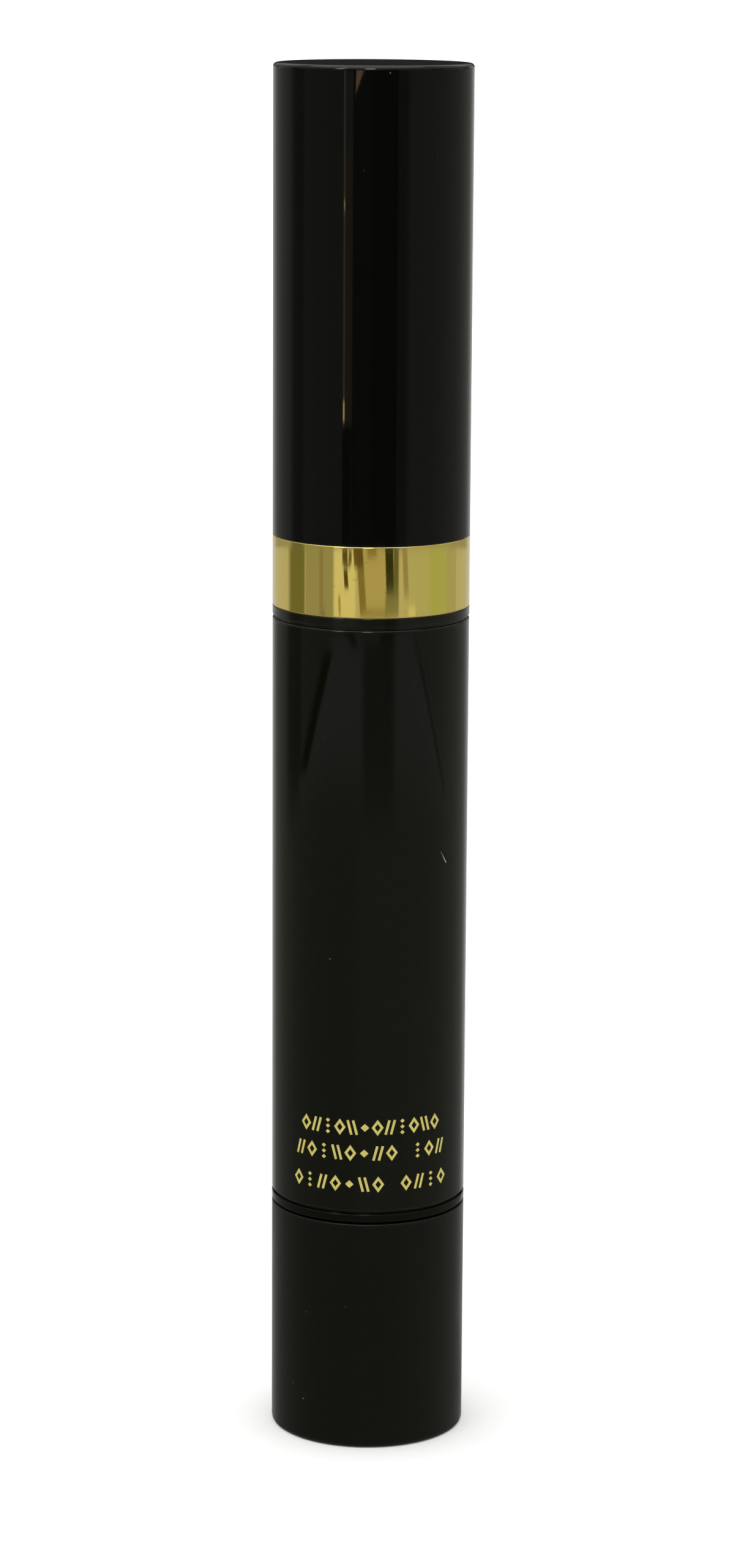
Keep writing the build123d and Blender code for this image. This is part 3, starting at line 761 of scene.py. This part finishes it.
def room():
    """Paints the room's levels: the tilts that each part of the pen mirrors to the camera.

    The side of an upright pen mirrors a bearing that is twice its own, and a tilt as far below
    the horizon as the camera is above that point of the pen, so a level is a stretch of the pen.
    """
    here = Room(rgb(0.34, 0.34, 0.31))
    cap = (-8.39, 0.0)
    band = (-9.40, -8.41)
    barrel = (-30.0, -9.43)

    # level with the cap: pale walls, a dark middle, the long glint and its two bright spots
    here.patch((0.285, 0.29, 0.25), (-82.0, -36.0), cap, soft=6.0, soft_tilt=SEAM)
    here.patch(0.15, (-100.0, -90.0), (-11.2, 0.0), soft=(12.0, 9.0), soft_tilt=(1.5, 1.0))
    here.patch((0.37, 0.375, 0.33), (48.0, 100.0), cap, soft=10.0, soft_tilt=SEAM)
    here.patch(0.18, (-22.0, 36.0), cap, soft=(1.5, 10.0), soft_tilt=SEAM)
    here.patch(0.11, (-22.0, 28.0), cap, soft=(1.5, 1.0), soft_tilt=SEAM)
    here.patch(0.075, (1.0, 27.5), cap, soft=(5.0, 1.2), soft_tilt=SEAM)
    here.patch((0.46, 0.37, 0.20), (-31.0, -25.5), (-6.8, -3.3), soft=1.0, soft_tilt=(0.1, 0.3))
    here.patch((1.15, 0.95, 0.68), (-33.2, -32.0), (-6.7, -2.1), soft=0.9, soft_tilt=0.15)
    here.patch((9.0, 6.0, 3.2), (-33.0, -32.2), (-3.87, -3.80), soft=0.7, soft_tilt=0.06)
    here.patch((15.0, 9.5, 4.5), (-33.2, -32.0), (-6.66, -6.50), soft=0.7, soft_tilt=0.10)
    # beside the glint's foot, and the warm wedge under the cap's top edge
    here.patch(0.085, (-33.0, -22.0), (-8.39, -6.85), soft=2.5, soft_tilt=(SEAM, 0.15))
    here.patch(0.19, (-24.3, -23.7), (-8.39, -7.2), soft=0.8, soft_tilt=(SEAM, 0.3))
    here.patch(
        (3.3, 2.15, 1.25), (-22.0, -12.0), (-2.38, -1.95), soft=1.3, soft_tilt=0.08,
        slant=16.0, fan=-2.4,
    )

    gold(here, band)

    # level with the barrel: pale walls, and a lamp whose beam fans out downward
    here.patch((0.31, 0.31, 0.27), (-200.0, -20.0), barrel, soft=30.0, soft_tilt=SEAM)
    here.patch((0.39, 0.39, 0.34), (0.0, 100.0), barrel, soft=25.0, soft_tilt=SEAM)
    here.patch(0.13, (-108.0, -94.0), (-11.2, -9.43), soft=(12.0, 9.0), soft_tilt=(1.4, SEAM))
    here.patch(0.54, (-48.0, 56.0), (-10.5, -9.66), soft=3.0, soft_tilt=(1.8, 0.12), fan=0.42)
    here.patch(0.05, (-69.0, -63.0), (-11.3, -9.9), soft=(8.0, 2.0), soft_tilt=0.25, slant=22.0)
    here.patch(0.26, (73.5, 75.5), (-11.6, -9.7), soft=(1.5, 5.0), soft_tilt=0.2, slant=-22.0)
    here.patch(0.20, (-3.0, 22.0), (-11.2, -9.43), soft=(11.0, 12.0), soft_tilt=(1.5, SEAM))
    here.patch(0.36, (-8.0, 8.0), (-9.68, -9.58), soft=4.0, soft_tilt=0.06)
    here.patch(0.12, (-28.0, -22.0), (-9.70, -9.43), soft=3.0, soft_tilt=(0.1, SEAM), slant=-50.0)
    here.patch(0.12, (16.0, 26.0), (-9.68, -9.43), soft=3.0, soft_tilt=(0.1, SEAM), slant=30.0)

    # behind the pen, where only its edges look
    for turns in ((-200.0, -162.0), (162.0, 200.0)):
        here.patch(0.60, turns, (-60.0, 0.4), soft=22.0, soft_tilt=0.2)
        here.patch(0.04, turns, (-50.0, -23.0), soft=40.0, soft_tilt=(5.0, 1.5))

    # above the horizon: a pale wall with dim gaps, a dark door behind the pen that its top
    # face mirrors, a pale ceiling and two small lamps
    wall, edge = (0.6, 5.0), (0.8, 12.0)
    here.patch((0.56, 0.56, 0.53), ALL_ROUND, wall, soft_tilt=edge)
    for turn in (-148.0, -101.0, -28.0, 20.0, 76.0, 132.0):
        here.patch(0.17, (turn - 6.0, turn + 6.0), wall, soft=5.0, soft_tilt=edge)
    for turns in ((-200.0, -166.0), (166.0, 200.0)):
        here.patch(0.022, turns, wall, soft=10.0, soft_tilt=edge)
    here.patch(0.85, ALL_ROUND, (30.0, 100.0), soft_tilt=14.0)
    for turns in ((-44.0, -38.0), (-8.0, 0.0)):
        here.patch((7.0, 6.8, 6.2), turns, (18.0, 48.0), soft=4.0, soft_tilt=6.0)
    here.finish()


def gold(here, band):
    """What the gold band mirrors: brighter and busier than the rest of the room."""
    top = band[1]

    def strip(colour, turns, soft, tilts=band, soft_tilt=SEAM, **more):
        here.patch(colour, turns, tilts, soft=soft, soft_tilt=soft_tilt, **more)

    # upright strips over the whole height
    strip((0.52, 0.52, 0.50), (-200.0, 200.0), 1.0)
    strip((0.172, 0.175, 0.085), (-106.0, -85.5), (10.0, 4.0))
    strip((0.32, 0.325, 0.27), (-81.0, -46.0), (3.0, 4.0))
    strip((0.27, 0.25, 0.20), (-61.5, -58.5), 2.0)
    strip((0.70, 0.69, 0.62), (-41.0, -20.0), (5.0, 4.0))
    strip((0.46, 0.43, 0.33), (-11.0, 18.0), 3.0)
    strip((0.47, 0.50, 0.43), (46.0, 74.0), 4.0)
    strip((0.43, 0.49, 0.29), (76.0, 98.0), 9.0)
    strip((0.42, 0.44, 0.37), (101.0, 116.0), 4.0)

    # the U at the middle: a brown band, a dark band and a paler arc that joins them below
    strip((0.24, 0.20, 0.10), (-13.5, -8.0), 2.2, (-9.28, -8.55), (0.05, 0.1), slant=-6.0)
    strip((0.13, 0.10, 0.04), (-19.5, -10.0), 1.5, (-8.64, top), (0.06, SEAM), slant=-6.0)
    strip((0.27, 0.24, 0.15), (-2.0, 4.0), 5.0, (-8.52, top), (0.04, SEAM))
    strip((0.30, 0.27, 0.18), (-7.0, 24.0), 4.0, (-9.31, -9.24), 0.03)
    strip((0.034, 0.036, 0.014), (17.5, 25.5), (1.2, 1.5), (-8.96, top), (0.18, SEAM), slant=-3.0)
    strip((0.135, 0.14, 0.075), (27.0, 31.0), (1.5, 2.5), (-8.98, top), (0.2, SEAM))
    strip((0.24, 0.24, 0.18), (18.0, 31.0), 3.0, (-9.3, -9.08), 0.06)
    strip((0.33, 0.29, 0.22), (38.5, 42.5), 2.0, (-8.95, -8.45), (0.2, 0.05), slant=-4.0)
    strip((0.70, 0.68, 0.62), (46.0, 52.0), 3.0, (-9.32, -9.22), 0.05)

    # small blotches beside it
    strip((0.09, 0.07, 0.025), (-33.0, -28.0), 1.2, (-8.62, -8.43), 0.03)
    strip((0.12, 0.09, 0.035), (-25.5, -23.0), 1.0, (-8.60, -8.46), 0.03)
    strip((0.11, 0.085, 0.03), (-31.0, -24.5), 1.2, (-8.65, -8.60), 0.02)
    strip((0.08, 0.06, 0.022), (-31.0, -27.2), 1.0, (-8.94, -8.70), 0.03, slant=-6.0)
    strip((0.38, 0.33, 0.20), (-37.5, -36.0), 1.2, (-9.30, -9.06), 0.04, slant=-4.0)
    strip((0.16, 0.14, 0.07), (-59.0, -55.0), 2.0, (-9.34, -9.29), 0.03)


def lamps():
    """A broad soft lamp overhead."""
    lean_back, lean_left = 8, -6
    sun = bpy.data.lights.new("overhead", "SUN")
    sun.energy = 1.85
    sun.angle = math.radians(80)
    obj = bpy.data.objects.new("overhead", sun)
    obj.rotation_euler = (math.radians(lean_back), math.radians(lean_left), 0)
    bpy.context.scene.collection.objects.link(obj)


def camera():
    """A long lens, a little above the cap and looking down, with the pen leaning a hair right."""
    data = bpy.data.cameras.new("camera")
    data.sensor_width = 36.0
    data.lens = 97.72
    data.clip_start = 0.01
    data.clip_end = 50.0
    obj = bpy.data.objects.new("camera", data)
    right, back, above_cap = 0.70 * MM, 363.0 * MM, 12.4 * MM
    down, roll = math.radians(11.58), math.radians(0.339)
    place = Matrix.Translation((right, -back, PEN_TOP + above_cap))
    aim = Matrix.Rotation(math.pi / 2 - down, 4, "X") @ Matrix.Rotation(roll, 4, "Z")
    obj.matrix_world = place @ aim
    bpy.context.scene.collection.objects.link(obj)
    bpy.context.scene.camera = obj


scene = bpy.context.scene
scene.view_settings.view_transform = "Standard"
scene.view_settings.look = "None"
camera()
room()
lamps()
floor()
finish_nodes()
skins()
foil_rows()
bristles()
